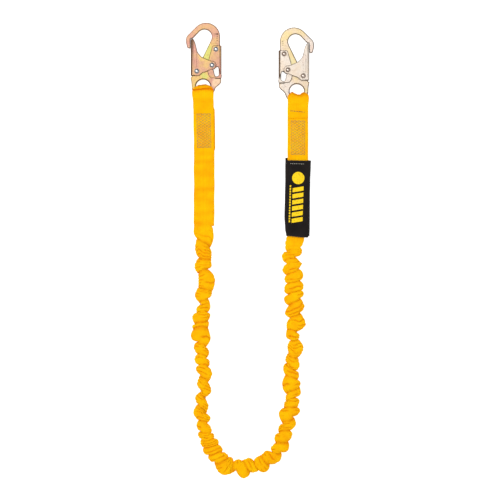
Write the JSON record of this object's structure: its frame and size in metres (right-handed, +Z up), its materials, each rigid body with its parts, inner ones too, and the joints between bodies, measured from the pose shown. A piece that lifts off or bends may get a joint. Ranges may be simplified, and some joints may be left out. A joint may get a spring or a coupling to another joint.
{
  "type": "shock absorbing lanyard",
  "caption": "Elasticated tubular-webbing fall lanyard with an internal energy absorber, a label cover and a double-locking snap hook sewn to each end.",
  "frame": {"origin": "middle of the laid-out lanyard, on the surface it lies on", "axes": "+Y up the two legs toward the hooks, +X from the left leg to the right leg, +Z up from the surface"},
  "size_m": [0.2176, 0.7679, 0.0196],
  "materials": {
    "chromate_steel": "iridescent yellow-pink zinc chromate plating",
    "pale_chromate_steel": "pale yellow zinc chromate plating",
    "bright_steel": "bright zinc",
    "spring_steel": "drawn wire",
    "yellow_webbing": "tubular woven polyester webbing",
    "core_yarn": "energy-absorbing woven yarn",
    "elastic": "covered elastic",
    "dark_thread": "bonded thread",
    "pale_thread": "bonded thread",
    "black_fabric": "coated woven nylon",
    "white_label": "satin label cloth"
  },
  "bodies": {
    "strap": {"outer_jacket": "yellow_webbing", "shock_absorbing_core": "core_yarn", "elastic_band_outer": "elastic", "elastic_band_inner": "elastic", "left_webbing_tail": "yellow_webbing", "right_webbing_tail": "yellow_webbing", "left_box_stitch": "dark_thread", "right_box_stitch": "dark_thread", "right_bar_tack": "dark_thread", "label_cover": "black_fabric", "cover_overlap": "black_fabric", "cover_hook_strip": "black_fabric", "cover_loop_strip": "black_fabric", "label_pack": "white_label", "cover_stitch_row": "pale_thread"},
    "left_hook": {"left_hook_body": "chromate_steel", "left_gate_pivot_rivet": "bright_steel", "left_lever_pivot_rivet": "bright_steel", "left_end_loop": "yellow_webbing"},
    "left_gate_assembly": {"left_gate": "chromate_steel", "left_latch_rivet": "bright_steel", "left_gate_spring": "spring_steel"},
    "left_lock": {"left_lock_lever": "chromate_steel", "left_lever_spring": "spring_steel"},
    "right_hook": {"right_hook_body": "pale_chromate_steel", "right_gate_pivot_rivet": "bright_steel", "right_lever_pivot_rivet": "bright_steel", "right_end_loop": "yellow_webbing"},
    "right_gate_assembly": {"right_gate": "pale_chromate_steel", "right_latch_rivet": "bright_steel", "right_gate_spring": "spring_steel"},
    "right_lock": {"right_lock_lever": "pale_chromate_steel", "right_lever_spring": "spring_steel"}
  },
  "joints": [
    {"name": "left_hook_flex", "type": "hinge", "parent": "strap", "child": "left_hook", "pos_m": [-0.0792, 0.2473, 0.0098], "axis": [1, 0, 0], "range_deg": [-75, 75]},
    {"name": "left_gate_swing", "type": "hinge", "parent": "left_hook", "child": "left_gate_assembly", "pos_m": [-0.0904, 0.3021, 0.0098], "axis": [0, 0, -1], "range_deg": [0, 22], "stiffness_Nm_per_rad": 0.4, "springref_deg": -20.05},
    {"name": "left_lock_squeeze", "type": "hinge", "parent": "left_hook", "child": "left_lock", "pos_m": [-0.0579, 0.3395, 0.0098], "axis": [0, 0, -1], "range_deg": [0, 9], "stiffness_Nm_per_rad": 0.3, "springref_deg": -11.46},
    {"name": "right_hook_flex", "type": "hinge", "parent": "strap", "child": "right_hook", "pos_m": [0.0814, 0.2393, 0.0098], "axis": [1, 0, 0], "range_deg": [-75, 75]},
    {"name": "right_gate_swing", "type": "hinge", "parent": "right_hook", "child": "right_gate_assembly", "pos_m": [0.0904, 0.2941, 0.0098], "axis": [0, 0, 1], "range_deg": [0, 22], "stiffness_Nm_per_rad": 0.4, "springref_deg": -20.05},
    {"name": "right_lock_squeeze", "type": "hinge", "parent": "right_hook", "child": "right_lock", "pos_m": [0.0579, 0.3315, 0.0098], "axis": [0, 0, 1], "range_deg": [0, 9], "stiffness_Nm_per_rad": 0.3, "springref_deg": -11.46}
  ],
  "couplings": [
    {"joint": "left_lock_squeeze", "follows": "left_gate_swing", "ratio": 0.409},
    {"joint": "right_lock_squeeze", "follows": "right_gate_swing", "ratio": 0.409}
  ]
}
